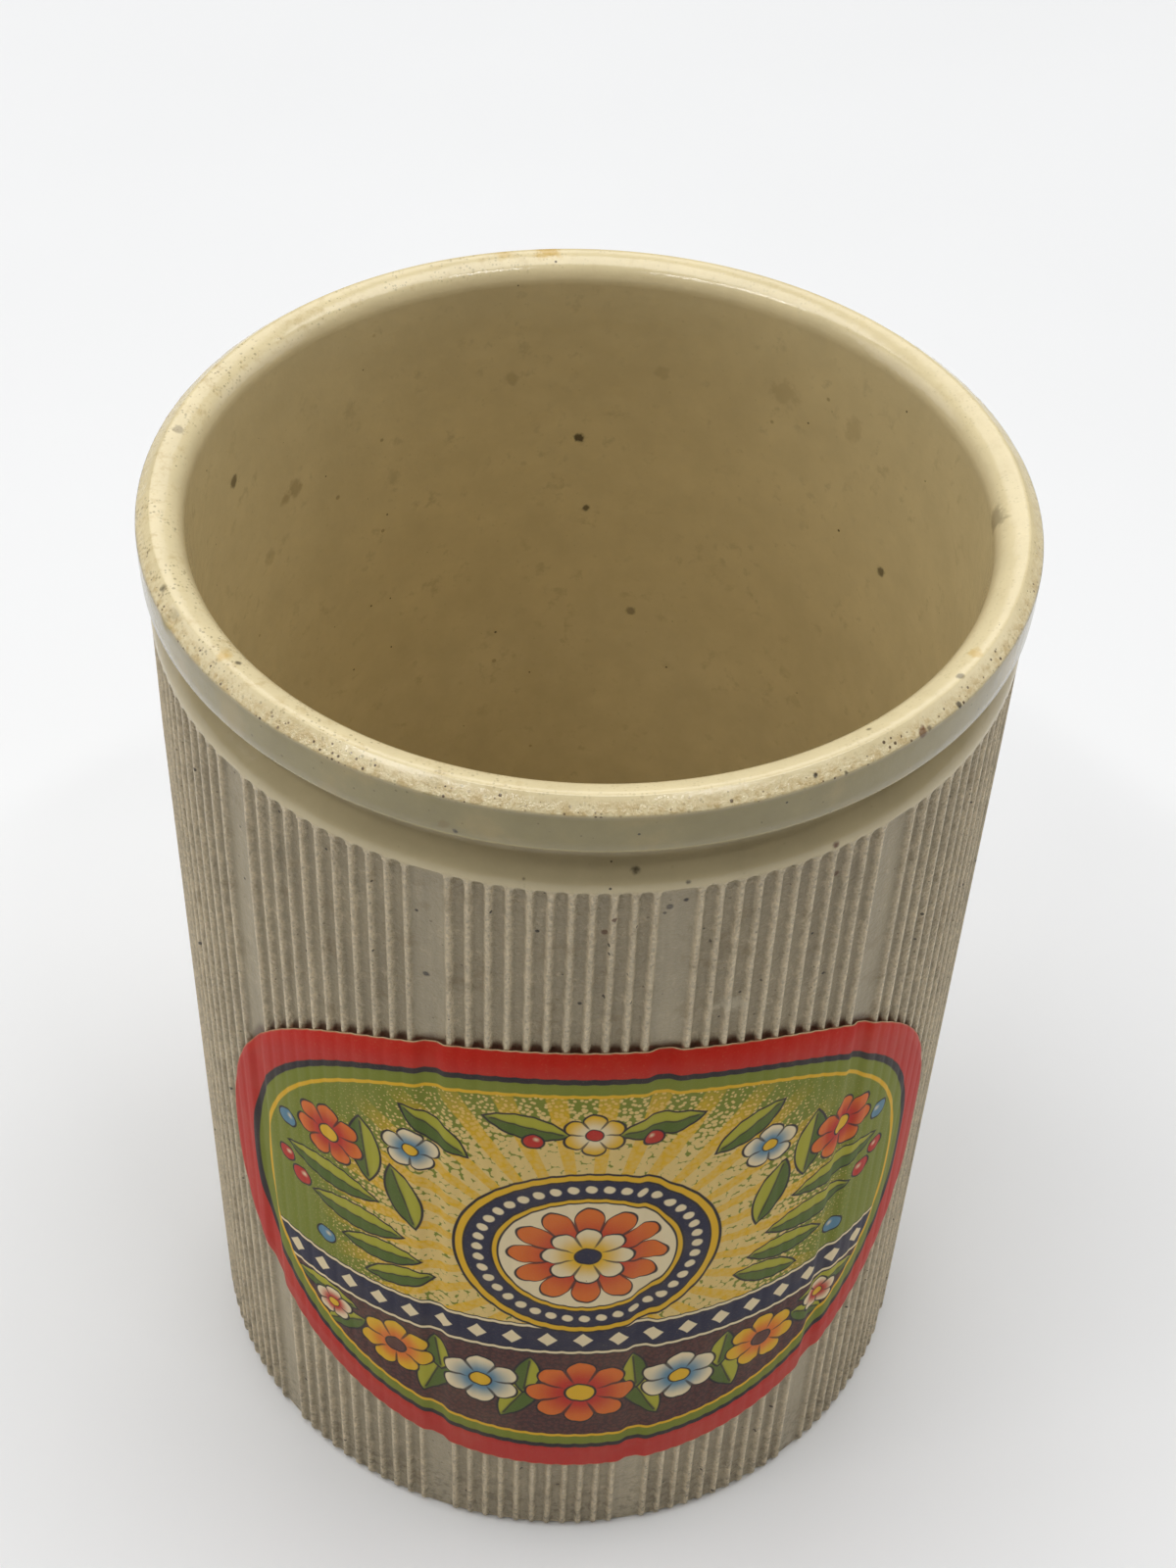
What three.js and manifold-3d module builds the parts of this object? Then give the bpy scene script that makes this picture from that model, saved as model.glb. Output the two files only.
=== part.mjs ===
// Stoneware jam jar: a straight, ribbed and glazed pot with a heavy lip, and an oval paper
// label pasted over the ribs of its front.
// Millimetres, +Z up. The origin is the centre of the foot, and the label faces -Y.

import * as THREE from 'three';
import { mergeVertices } from 'three/addons/utils/BufferGeometryUtils.js';
import Module from 'manifold-3d';

// Pot body
const POT_HEIGHT = 127;
const BODY_RADIUS = 45;            // over the ridges and the plain collar above them
const BASE_EDGE_CHAMFER = 1.2;
const FOOT_RING_WIDTH = 11;
const BASE_RECESS_DEPTH = 1.2;
const FLOOR_THICKNESS = 8;
const FLOOR_FILLET = 9;
const WALL_AT_FLOOR = 5.3;         // thickness of the wall where it leaves the floor fillet

// Lip, and the groove under it that the cover's string is tied into
const LIP_RADIUS = 45.5;
const LIP_HEIGHT = 5.75;           // from the top of the pot to the lip's lower edge
const LIP_CHAMFER = 0.9;
const LIP_CROWN_DROP = 3.5;        // height of the rounding from the top down into the mouth
const MOUTH_RADIUS = 40.5;
const TIE_GROOVE_HEIGHT = 4.85;
const TIE_GROOVE_DEPTH = 1.8;
const COLLAR_HEIGHT = 0.95;        // plain band between the tie groove and the rib tops

// Ribs: equal panels of ridges, parted by plain flats
const PANEL_COUNT = 12;
const RIDGES_PER_PANEL = 11;
const RIDGE_WIDTH = 0.65;
const FLAT_WIDTH = 3.55;
const RIB_DEPTH = 0.55;
const FIRST_FLAT_ANGLE = 8.4;      // degrees from the label's centre, towards +X

// Paper label, measured along the wall as if laid flat
const LABEL_WIDTH = 93.7;
const LABEL_HEIGHT = 77.5;
const LABEL_CENTRE_HEIGHT = 53.9;
const LABEL_SQUARENESS = 2.2;      // exponent of the oval: 2 is an ellipse, more is squarer
const PAPER_THICKNESS = 0.2;
const PASTE_GAP = 0.1;

// Fineness of the facets
const POT_SIDES = 72;
const PAPER_SIDES = 144;
const CHAMFER_STEPS = 1;
const CROWN_STEPS = 5;
const FILLET_STEPS = 5;
const TIE_GROOVE_STEPS = 6;
const SLOT_CORNER_STEPS = 2;
const OVAL_STEPS = 72;
const CUT_MARGIN = 1;              // how far a cutting solid runs past what it cuts

const GLAZED_STONEWARE = { color: 0xb9ae98, roughness: 0.35, metalness: 0 };
const PRINTED_PAPER = { color: 0xc4402f, roughness: 0.6, metalness: 0 };

const wasm = await Module();
wasm.setup();

// Heights up the pot, from the lip down
const lipEdgeHeight = POT_HEIGHT - LIP_HEIGHT;
const collarTopHeight = lipEdgeHeight - TIE_GROOVE_HEIGHT;
const ribTopHeight = collarTopHeight - COLLAR_HEIGHT;

// Round the wall, a panel is one flat and then its ridges, with a groove between each two.
const panelAngle = 2 * Math.PI / PANEL_COUNT;
const grooveCount = RIDGES_PER_PANEL - 1;
const ridgesWidth = RIDGES_PER_PANEL * RIDGE_WIDTH;
const grooveWidth = (panelAngle * BODY_RADIUS - FLAT_WIDTH - ridgesWidth) / grooveCount;

// Closed mesh to a solid that can be joined and cut.
function toSolid(geometry) {
  const bare = geometry.clone();
  bare.deleteAttribute('normal');
  bare.deleteAttribute('uv');
  const merged = mergeVertices(bare);
  return new wasm.Manifold(new wasm.Mesh({
    numProp: 3,
    vertProperties: new Float32Array(merged.attributes.position.array),
    triVerts: new Uint32Array(merged.index.array),
  }));
}

function toMesh(solid, name, finish) {
  const surface = solid.getMesh();
  const geometry = new THREE.BufferGeometry();
  geometry.setAttribute('position', new THREE.BufferAttribute(surface.vertProperties, surface.numProp));
  geometry.setIndex(new THREE.BufferAttribute(surface.triVerts, 1));
  geometry.computeVertexNormals();
  const mesh = new THREE.Mesh(geometry, new THREE.MeshStandardMaterial(finish));
  mesh.name = name;
  return mesh;
}

// Profile points are (radius, height), and the turned solid stands on +Z.
function revolve(profile, sides) {
  return new THREE.LatheGeometry(profile, sides).rotateX(Math.PI / 2);
}

// Points of an arc in a profile, from one angle to another in degrees.
function arc(centreRadius, centreHeight, radial, upright, fromAngle, toAngle, steps) {
  const start = THREE.MathUtils.degToRad(fromAngle);
  const end = THREE.MathUtils.degToRad(toAngle);
  const clockwise = toAngle < fromAngle;
  const curve = new THREE.EllipseCurve(centreRadius, centreHeight, radial, upright, start, end, clockwise);
  return curve.getPoints(steps);
}

// Round hollow of the tie groove, from the collar up to the underside of the lip.
function tieGrooveSection() {
  const halfHeight = TIE_GROOVE_HEIGHT / 2;
  const radius = (halfHeight ** 2 + TIE_GROOVE_DEPTH ** 2) / (2 * TIE_GROOVE_DEPTH);
  const centreRadius = BODY_RADIUS - TIE_GROOVE_DEPTH + radius;
  const centreHeight = collarTopHeight + halfHeight;
  const halfAngle = THREE.MathUtils.radToDeg(Math.atan2(halfHeight, radius - TIE_GROOVE_DEPTH));
  return arc(centreRadius, centreHeight, radius, radius, 180 + halfAngle, 180 - halfAngle, TIE_GROOVE_STEPS);
}

// One closed section: under the base, up the outside, over the lip and down the inside.
function potSection() {
  const footRadius = BODY_RADIUS - BASE_EDGE_CHAMFER;
  const recessRadius = footRadius - FOOT_RING_WIDTH;
  const crownRadius = LIP_RADIUS - LIP_CHAMFER;
  const crownHeight = POT_HEIGHT - LIP_CROWN_DROP;
  const filletRadius = BODY_RADIUS - WALL_AT_FLOOR - FLOOR_FILLET;
  const filletHeight = FLOOR_THICKNESS + FLOOR_FILLET;
  return [
    new THREE.Vector2(0, BASE_RECESS_DEPTH),
    new THREE.Vector2(recessRadius - BASE_RECESS_DEPTH, BASE_RECESS_DEPTH),
    new THREE.Vector2(recessRadius, 0),
    ...arc(footRadius, BASE_EDGE_CHAMFER, BASE_EDGE_CHAMFER, BASE_EDGE_CHAMFER, 270, 360, CHAMFER_STEPS),
    ...tieGrooveSection(),
    new THREE.Vector2(LIP_RADIUS, lipEdgeHeight),
    new THREE.Vector2(LIP_RADIUS, POT_HEIGHT - LIP_CHAMFER),
    ...arc(crownRadius, crownHeight, crownRadius - MOUTH_RADIUS, LIP_CROWN_DROP, 90, 180, CROWN_STEPS),
    ...arc(filletRadius, filletHeight, FLOOR_FILLET, FLOOR_FILLET, 360, 270, FILLET_STEPS),
    new THREE.Vector2(0, FLOOR_THICKNESS),
  ];
}

// Upright slot with round upper corners, cut into the front of the wall and open at the base.
function slotCutter(width) {
  const side = width / 2;
  const corner = grooveWidth / 2;
  const cornerHeight = ribTopHeight - corner;
  const outline = new THREE.Shape();
  outline.moveTo(-side, -CUT_MARGIN);
  outline.lineTo(side, -CUT_MARGIN);
  outline.absarc(side - corner, cornerHeight, corner, 0, Math.PI / 2, false);
  outline.absarc(corner - side, cornerHeight, corner, Math.PI / 2, Math.PI, false);
  outline.closePath();
  const cutter = new THREE.ExtrudeGeometry(outline, {
    depth: RIB_DEPTH + CUT_MARGIN,
    curveSegments: SLOT_CORNER_STEPS,
    bevelEnabled: false,
  });
  return cutter.rotateX(Math.PI / 2).translate(0, RIB_DEPTH - BODY_RADIUS, 0);
}

function cutRibs(body) {
  const flatCutter = slotCutter(FLAT_WIDTH);
  const grooveCutter = slotCutter(grooveWidth);
  const firstFlat = THREE.MathUtils.degToRad(FIRST_FLAT_ANGLE);
  const firstGroove = FLAT_WIDTH / 2 + RIDGE_WIDTH + grooveWidth / 2;
  let ribbed = body;
  for (let panel = 0; panel < PANEL_COUNT; panel += 1) {
    const flatAngle = firstFlat + panel * panelAngle;
    ribbed = ribbed.subtract(toSolid(flatCutter.clone().rotateZ(flatAngle)));
    for (let groove = 0; groove < grooveCount; groove += 1) {
      const along = firstGroove + groove * (grooveWidth + RIDGE_WIDTH);
      const angle = flatAngle + along / BODY_RADIUS;
      ribbed = ribbed.subtract(toSolid(grooveCutter.clone().rotateZ(angle)));
    }
  }
  return ribbed;
}

function stonewarePot() {
  const turned = toSolid(revolve(potSection(), POT_SIDES));
  return toMesh(cutRibs(turned), 'stoneware_pot', GLAZED_STONEWARE);
}

// Oval outline of the label as seen from the front, so that it is true along the curved wall.
function labelOutline(paperRadius) {
  const points = [];
  for (let step = 0; step < OVAL_STEPS; step += 1) {
    const turn = 2 * Math.PI * step / OVAL_STEPS;
    const across = Math.sign(Math.cos(turn)) * Math.abs(Math.cos(turn)) ** (2 / LABEL_SQUARENESS);
    const upward = Math.sign(Math.sin(turn)) * Math.abs(Math.sin(turn)) ** (2 / LABEL_SQUARENESS);
    const wrapAngle = across * LABEL_WIDTH / 2 / paperRadius;
    points.push(new THREE.Vector2(paperRadius * Math.sin(wrapAngle), upward * LABEL_HEIGHT / 2));
  }
  return new THREE.Shape(points);
}

// The label is the part of a paper sleeve round the ridges that lies inside the oval.
function paperLabel() {
  const innerRadius = (BODY_RADIUS + PASTE_GAP) / Math.cos(Math.PI / PAPER_SIDES);
  const outerRadius = innerRadius + PAPER_THICKNESS;
  const lowHeight = LABEL_CENTRE_HEIGHT - LABEL_HEIGHT / 2 - CUT_MARGIN;
  const highHeight = LABEL_CENTRE_HEIGHT + LABEL_HEIGHT / 2 + CUT_MARGIN;
  const sleeve = revolve([
    new THREE.Vector2(innerRadius, lowHeight),
    new THREE.Vector2(outerRadius, lowHeight),
    new THREE.Vector2(outerRadius, highHeight),
    new THREE.Vector2(innerRadius, highHeight),
    new THREE.Vector2(innerRadius, lowHeight),
  ], PAPER_SIDES);
  const blade = new THREE.ExtrudeGeometry(labelOutline(outerRadius), {
    depth: outerRadius + CUT_MARGIN,
    bevelEnabled: false,
  });
  blade.rotateX(Math.PI / 2).translate(0, 0, LABEL_CENTRE_HEIGHT);
  return toMesh(toSolid(sleeve).intersect(toSolid(blade)), 'paper_label', PRINTED_PAPER);
}

const jar = new THREE.Group();
jar.add(stonewarePot());
jar.add(paperLabel());

export default jar;
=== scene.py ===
"""Stoneware jam jar with a pasted paper label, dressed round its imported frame.

Metres, +Z up, and the middle of the label faces -Y. Angles round the jar start at the middle of
the label and grow towards +X. Materials reckon in millimetres.
"""

import logging
import math
from dataclasses import dataclass, field
from enum import Enum

import bmesh
import bpy
from mathutils import Matrix, Vector, noise


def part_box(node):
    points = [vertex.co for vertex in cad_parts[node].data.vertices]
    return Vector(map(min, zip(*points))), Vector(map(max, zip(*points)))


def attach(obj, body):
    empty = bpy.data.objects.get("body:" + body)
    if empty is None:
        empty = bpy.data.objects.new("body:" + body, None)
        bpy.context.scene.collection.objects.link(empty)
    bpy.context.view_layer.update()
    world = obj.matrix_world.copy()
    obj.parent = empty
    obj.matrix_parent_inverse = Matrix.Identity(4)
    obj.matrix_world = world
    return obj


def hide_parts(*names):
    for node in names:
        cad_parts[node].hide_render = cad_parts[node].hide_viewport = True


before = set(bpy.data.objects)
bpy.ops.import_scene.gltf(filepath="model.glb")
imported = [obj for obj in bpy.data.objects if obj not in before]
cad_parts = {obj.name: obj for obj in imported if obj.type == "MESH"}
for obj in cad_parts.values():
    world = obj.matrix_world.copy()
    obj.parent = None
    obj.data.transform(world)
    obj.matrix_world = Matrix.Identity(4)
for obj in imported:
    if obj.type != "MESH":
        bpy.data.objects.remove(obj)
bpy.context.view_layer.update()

MM = 0.001
MERGE_DISTANCE = 0.001 * MM
PRINT_SPAN = 100.0  # millimetres of the flat label that the print's map covers
PRINT_EDGE = 0.07  # softness of a printed edge in millimetres
LOG = logging.getLogger("jam_jar")

Colour = tuple[float, float, float]
Place = tuple[float, float, float]
Point = tuple[float, float]
Inputs = dict[int | str, object]


class Trait(Enum):
    """Numbers kept on the points of a mesh, which the finishes read by name."""

    RELIEF = "relief"
    HOLLOW = "hollow"
    CREAM = "cream"
    ARRIS = "arris"
    FLAT = "flat"
    PRESSED = "pressed"


POT_TRAITS = (Trait.RELIEF, Trait.HOLLOW, Trait.CREAM, Trait.ARRIS, Trait.FLAT)


class Side(Enum):
    """Which halves of the label a flower is printed on."""

    BOTH = "both"
    SINGLE = "single"


def smoothstep(low: float, high: float, value: float) -> float:
    """Eased step from 0 at and below one value to 1 at and above another."""
    share = min(max((value - low) / (high - low), 0.0), 1.0)
    return share * share * (3.0 - 2.0 * share)


def ink(red: int, green: int, blue: int) -> Colour:
    """Colour in linear light, from screen values of 0 to 255."""
    shares = (value / 255 for value in (red, green, blue))
    return tuple(s / 12.92 if s <= 0.04045 else ((s + 0.055) / 1.055) ** 2.4 for s in shares)


def arc(centre: Point, radial: float, upright: float, start: float, end: float, steps: int) -> list[Point]:
    """Points of an elliptical arc in a turned section.

    Args:
        centre: Radius and height of the arc's centre.
        radial: Half width of the ellipse.
        upright: Half height of the ellipse.
        start: First angle in degrees, 0 outwards and 90 up.
        end: Last angle in degrees.
        steps: How many steps the arc is cut into.

    Returns:
        Points as radius and height, with both ends.
    """
    points = []
    for step in range(steps + 1):
        turn = math.radians(start + (end - start) * step / steps)
        points.append((centre[0] + radial * math.cos(turn), centre[1] + upright * math.sin(turn)))
    return points


class Palette(Enum):
    """Inks of the printed label."""

    RED = ink(194, 35, 15)
    MAROON = ink(92, 50, 42)
    LINE = ink(38, 28, 30)
    GREEN = ink(124, 132, 26)
    LEAF = ink(84, 104, 26)
    PALE_LEAF = ink(176, 170, 40)
    YELLOW = ink(232, 180, 16)
    CREAM = ink(240, 220, 176)
    BUFF = ink(230, 198, 122)
    NAVY = ink(40, 38, 62)
    ORANGE = ink(226, 112, 26)
    SKY = ink(92, 136, 158)
    PAPER = ink(206, 184, 136)


@dataclass(frozen=True)
class Signal:
    """One output of a material's nodes, which takes part in sums like a number."""

    sheet: "NodeSheet"
    socket: bpy.types.NodeSocket

    def __add__(self, other: "Signal | float") -> "Signal":
        """Sum of two values."""
        return self.sheet.math("ADD", self, other)

    def __sub__(self, other: "Signal | float") -> "Signal":
        """Difference of two values."""
        return self.sheet.math("SUBTRACT", self, other)

    def __rsub__(self, other: float) -> "Signal":
        """Difference of two values."""
        return self.sheet.math("SUBTRACT", other, self)

    def __mul__(self, other: "Signal | float") -> "Signal":
        """Product of two values."""
        return self.sheet.math("MULTIPLY", self, other)

    __radd__ = __add__
    __rmul__ = __mul__

    def __truediv__(self, other: "Signal | float") -> "Signal":
        """Quotient of two values."""
        return self.sheet.math("DIVIDE", self, other)

    def __abs__(self) -> "Signal":
        """The value without its sign."""
        return self.sheet.math("ABSOLUTE", self)

    def power(self, exponent: float) -> "Signal":
        """The value raised to a power."""
        return self.sheet.math("POWER", self, exponent)

    def largest(self, other: "Signal | float") -> "Signal":
        """The larger of two values."""
        return self.sheet.math("MAXIMUM", self, other)

    def rise(self, low: "Signal | float", high: "Signal | float") -> "Signal":
        """Eased step that goes from 0 to 1 between two values."""
        inputs = dict(enumerate((self, low, high, 0.0, 1.0)))
        return self.sheet.signal("ShaderNodeMapRange", inputs, interpolation_type="SMOOTHSTEP")

    def below(self, limit: float, soft: float) -> "Signal":
        """Mask that is 1 below a limit, with a soft edge on both sides of it."""
        return 1.0 - self.rise(limit - soft, limit + soft)

    def near(self, middle: float, half: float, soft: float) -> "Signal":
        """Mask that is 1 in a band round a value, with soft edges."""
        return abs(self - middle).below(half, soft)


class NodeSheet:
    """Node tree of one material, written as ordinary sums.

    Attributes:
        material: The material.
        colour: What has been laid on it so far.
    """

    def __init__(self, name: str) -> None:
        """Starts a material with one surface shader.

        Args:
            name: Name of the material.
        """
        self.material = bpy.data.materials.new(name)
        self.material.use_nodes = True
        self.tree = self.material.node_tree
        self.tree.nodes.clear()
        self.shader = self.tree.nodes.new("ShaderNodeBsdfPrincipled")
        output = self.tree.nodes.new("ShaderNodeOutputMaterial")
        self.tree.links.new(self.shader.outputs[0], output.inputs[0])
        self.colour: "Signal | Colour" = (1.0, 1.0, 1.0)

    def feed(self, socket: bpy.types.NodeSocket, value: "Signal | Palette | float | tuple") -> None:
        """Links a signal to a socket, or sets the socket to a plain value.

        Args:
            socket: Input to feed.
            value: A signal, an ink, a number, a vector or a colour.
        """
        if isinstance(value, Signal):
            self.tree.links.new(value.socket, socket)
            return
        plain = value.value if isinstance(value, Palette) else value
        socket.default_value = (*plain, 1.0) if socket.type == "RGBA" else plain

    def signal(self, kind: str, inputs: Inputs, output: int | str = 0, **settings: object) -> Signal:
        """Adds a node.

        Args:
            kind: Blender's name for the kind of node.
            inputs: What its inputs are fed, by their numbers or names.
            output: Number or name of the output to use.
            **settings: Properties to set on it.

        Returns:
            The output.
        """
        node = self.tree.nodes.new(kind)
        for name, value in settings.items():
            setattr(node, name, value)
        for name, value in inputs.items():
            self.feed(node.inputs[name], value)
        return Signal(self, node.outputs[output])

    def math(self, operation: str, *values: "Signal | float") -> Signal:
        """Works out one of Blender's sums of numbers."""
        return self.signal("ShaderNodeMath", dict(enumerate(values)), operation=operation)

    def vector(self, operation: str, *values: "Signal | tuple") -> Signal:
        """Works out one of Blender's sums of vectors, some of which give a number."""
        output = "Value" if operation in {"DISTANCE", "LENGTH"} else "Vector"
        return self.signal("ShaderNodeVectorMath", dict(enumerate(values)), output, operation=operation)

    def parts(self, place: Signal) -> list[Signal]:
        """Splits a vector into its three numbers."""
        first = self.signal("ShaderNodeSeparateXYZ", {0: place})
        return [Signal(self, socket) for socket in first.socket.node.outputs]

    def joined(self, *values: "Signal | float") -> Signal:
        """Makes a vector of three numbers."""
        return self.signal("ShaderNodeCombineXYZ", dict(enumerate(values)))

    def place(self) -> Signal:
        """Position on the piece in millimetres."""
        spot = self.signal("ShaderNodeTexCoord", {}, "Object")
        return self.vector("MULTIPLY", spot, (1 / MM, 1 / MM, 1 / MM))

    def trait(self, trait: Trait) -> Signal:
        """Number kept on the points of the mesh."""
        return self.signal("ShaderNodeAttribute", {}, "Fac", attribute_name=trait.value)

    def noise(self, place: Signal, grain: float, detail: float = 2.0, rough: float = 0.5) -> Signal:
        """Cloudy pattern round 0.5, of a grain in millimetres, with finer layers and their strength."""
        inputs = {"Vector": place, "Scale": 1 / grain, "Detail": detail, "Roughness": rough}
        return self.signal("ShaderNodeTexNoise", inputs, noise_dimensions="3D")

    def cells(self, place: Signal, spacing: float, dimensions: str = "3D") -> tuple[Signal, Signal]:
        """Scattered points.

        Args:
            place: Position in millimetres.
            spacing: Mean distance between the points in millimetres.
            dimensions: "2D" for points on a print, "3D" for points through a body.

        Returns:
            Distance to the nearest point, in spacings, and that point's own random number.
        """
        inputs = {"Vector": place, "Scale": 1 / spacing}
        distance = self.signal("ShaderNodeTexVoronoi", inputs, "Distance", voronoi_dimensions=dimensions)
        tint = Signal(self, distance.socket.node.outputs["Color"])
        return distance, self.signal("ShaderNodeSeparateColor", {0: tint})

    def specks(self, place: Signal, spacing: float, share: "Signal | float",
               size: "Signal | float") -> Signal:
        """Mask of scattered specks of many sizes.

        Args:
            place: Position in millimetres.
            spacing: Mean distance between possible specks in millimetres.
            share: Share of them that shows.
            size: Radius of the largest, in spacings.

        Returns:
            1 inside a speck.
        """
        distance, chance = self.cells(place, spacing)
        reach = ((share - chance) / share * size).largest(0.0001)
        return 1.0 - distance.rise(reach * 0.6, reach)

    def mix(self, mask: "Signal | float", under: "Signal | Palette | Colour",
            over: "Signal | Palette | Colour") -> Signal:
        """One colour over another, as much of it as the mask says."""
        return self.signal("ShaderNodeMix", {0: mask, 6: under, 7: over}, 2, data_type="RGBA")

    def lay(self, mask: "Signal | float", over: "Signal | Palette | Colour") -> None:
        """Lays a colour over what the material has so far."""
        self.colour = self.mix(mask, self.colour, over)

    def tinted(self, colour: "Signal | Colour", strength: Signal) -> Signal:
        """Multiplies a colour by a number."""
        return self.signal("ShaderNodeVectorMath", {0: colour, "Scale": strength}, operation="SCALE")

    def bump(self, height: Signal, distance: float, under: "Signal | None" = None) -> Signal:
        """Surface direction of a fine relief.

        Args:
            height: Height of the relief, 0 to 1.
            distance: Height of a full step in metres.
            under: Relief that this one lies on.

        Returns:
            The direction.
        """
        inputs = {"Distance": distance, "Height": height}
        if under is not None:
            inputs["Normal"] = under
        return self.signal("ShaderNodeBump", inputs)

    def surface(self, **values: "Signal | float") -> bpy.types.Material:
        """Feeds the surface shader its colour and other values.

        Args:
            **values: What is fed to it, with spaces in the names of its sockets written as _.

        Returns:
            The finished material.
        """
        for name, value in {"Base_Color": self.colour, **values}.items():
            self.feed(self.shader.inputs[name.replace("_", " ")], value)
        return self.material


@dataclass(frozen=True)
class RibPattern:
    """Panels of upright ridges round the wall, parted by plain flats.

    Attributes:
        radius: Radius over the ridges.
        panels: Number of panels round the wall.
        ridges: Ridges in a panel.
        ridge_width: Width of a ridge.
        flat_width: Width of the plain flat between two panels.
        depth: Depth of the grooves and flats.
        first_flat: Angle of the first flat's middle.
        ridge_shares: Mesh columns across a ridge, as shares of its width.
        groove_shares: Mesh columns across a groove.
        flat_shares: Mesh columns across a flat.
    """

    radius: float = 45.0 * MM
    panels: int = 12
    ridges: int = 11
    ridge_width: float = 0.65 * MM
    flat_width: float = 3.55 * MM
    depth: float = 0.55 * MM
    first_flat: float = math.radians(8.4)
    ridge_shares: tuple[float, ...] = (0.0, 0.25, 0.75)
    groove_shares: tuple[float, ...] = (0.0, 0.16, 0.5, 0.84)
    flat_shares: tuple[float, ...] = (0.0, 0.06, 0.28, 0.5, 0.72, 0.94)

    @property
    def panel_width(self) -> float:
        """Width of one panel with its flat, along the wall."""
        return math.tau * self.radius / self.panels

    @property
    def groove_width(self) -> float:
        """Width of a groove between two ridges."""
        return (self.panel_width - self.flat_width - self.ridges * self.ridge_width) / (self.ridges - 1)

    def columns(self) -> list[float]:
        """Angles of the mesh columns round the whole pot.

        Returns:
            Angles in rising order, with a column on each edge of each ridge.
        """
        ridge = (self.ridge_width, self.ridge_shares)
        groove = (self.groove_width, self.groove_shares)
        spans = [(self.flat_width, self.flat_shares), ridge] + [groove, ridge] * (self.ridges - 1)
        angles = []
        for panel in range(self.panels):
            along = panel * self.panel_width - self.flat_width / 2
            for width, shares in spans:
                for share in shares:
                    angles.append(self.first_flat + (along + width * share) / self.radius)
                along += width
        return angles

    def hollow(self, angle: float) -> tuple[float, float]:
        """Finds the flat or groove nearest to an angle.

        Args:
            angle: Angle round the jar.

        Returns:
            Distance along the wall from the middle of that hollow, and half of the hollow's width.
        """
        along = ((angle - self.first_flat) * self.radius) % self.panel_width
        reach = (self.flat_width + self.ridge_width) / 2
        if along < reach:
            return along, self.flat_width / 2
        if along > self.panel_width - reach:
            return along - self.panel_width, self.flat_width / 2
        pitch = self.groove_width + self.ridge_width
        first = (self.flat_width + self.groove_width) / 2 + self.ridge_width
        number = round((along - first) / pitch)
        return along - first - number * pitch, self.groove_width / 2

    def on_flat(self, angle: float) -> bool:
        """Whether the hollow nearest to an angle is a flat."""
        return self.hollow(angle)[1] > self.groove_width

    def sunk(self, angle: float) -> float:
        """Share of the full depth at an angle: 0 on top of a ridge, 1 on the bottom of a groove."""
        offset, half = self.hollow(angle)
        return 1.0 - smoothstep(-0.7, 0.6, (abs(offset) - half) / (self.ridge_width / 2))

    def middle(self, angle: float) -> float:
        """1 in the middle of a groove or flat and 0 at its sides, round between."""
        offset, half = self.hollow(angle)
        return math.sqrt(max(0.0, 1.0 - (offset / half) ** 2))


@dataclass(frozen=True)
class LabelCut:
    """Oval that the label is cut to, along the wall as if laid flat.

    Attributes:
        half_width: Half of the oval's width.
        half_height: Half of its height.
        centre_height: Height of its middle above the foot.
        squareness: Exponent of the oval, 2 for an ellipse and more for a squarer one.
        radius: Radius of the wall under the paper.
    """

    half_width: float
    half_height: float
    centre_height: float
    squareness: float
    radius: float

    @classmethod
    def from_frame(cls, squareness: float, radius: float) -> "LabelCut":
        """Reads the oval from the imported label.

        Args:
            squareness: Exponent of the oval.
            radius: Radius over the ridges that carry the paper.

        Returns:
            The oval.
        """
        low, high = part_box("paper_label")
        wrap = math.asin(high[0] / -low[1])
        return cls(wrap * -low[1], (high[2] - low[2]) / 2, (high[2] + low[2]) / 2, squareness, radius)

    def height_at(self, across: float) -> float:
        """Half height of the oval at a share of its half width."""
        return self.half_height * (1.0 - abs(across) ** self.squareness) ** (1 / self.squareness)

    def inset(self, sheet: NodeSheet, flat: Signal) -> Signal:
        """Distance in from the cut edge, in millimetres.

        Args:
            sheet: Material that uses it.
            flat: Position on the flat label in millimetres from its middle.

        Returns:
            The distance, negative outside the oval.
        """
        scale = (MM / self.half_width, MM / self.half_height, 0.0)
        across, up, _ = sheet.parts(sheet.vector("ABSOLUTE", sheet.vector("MULTIPLY", flat, scale)))
        total = across.power(self.squareness) + up.power(self.squareness)
        share = total.power(1 / self.squareness).largest(0.01)
        length = sheet.vector("LENGTH", flat)
        return length / share - length


@dataclass(frozen=True)
class Mark:
    """One stain, pit or speck on the glaze, in degrees and millimetres."""

    turn: float
    out: float
    height: float
    radius: float
    strength: float

    @property
    def place(self) -> Place:
        """Position of its middle."""
        angle = math.radians(self.turn)
        return self.out * math.sin(angle), -self.out * math.cos(angle), self.height


IRON = (0.03, 0.021, 0.013)
OXIDE = (0.15, 0.06, 0.018)
UMBER = (0.25, 0.165, 0.06)
RUST = (0.56, 0.33, 0.03)
CHALK = (0.74, 0.66, 0.48)
GRIME = (0.14, 0.105, 0.055)

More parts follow.
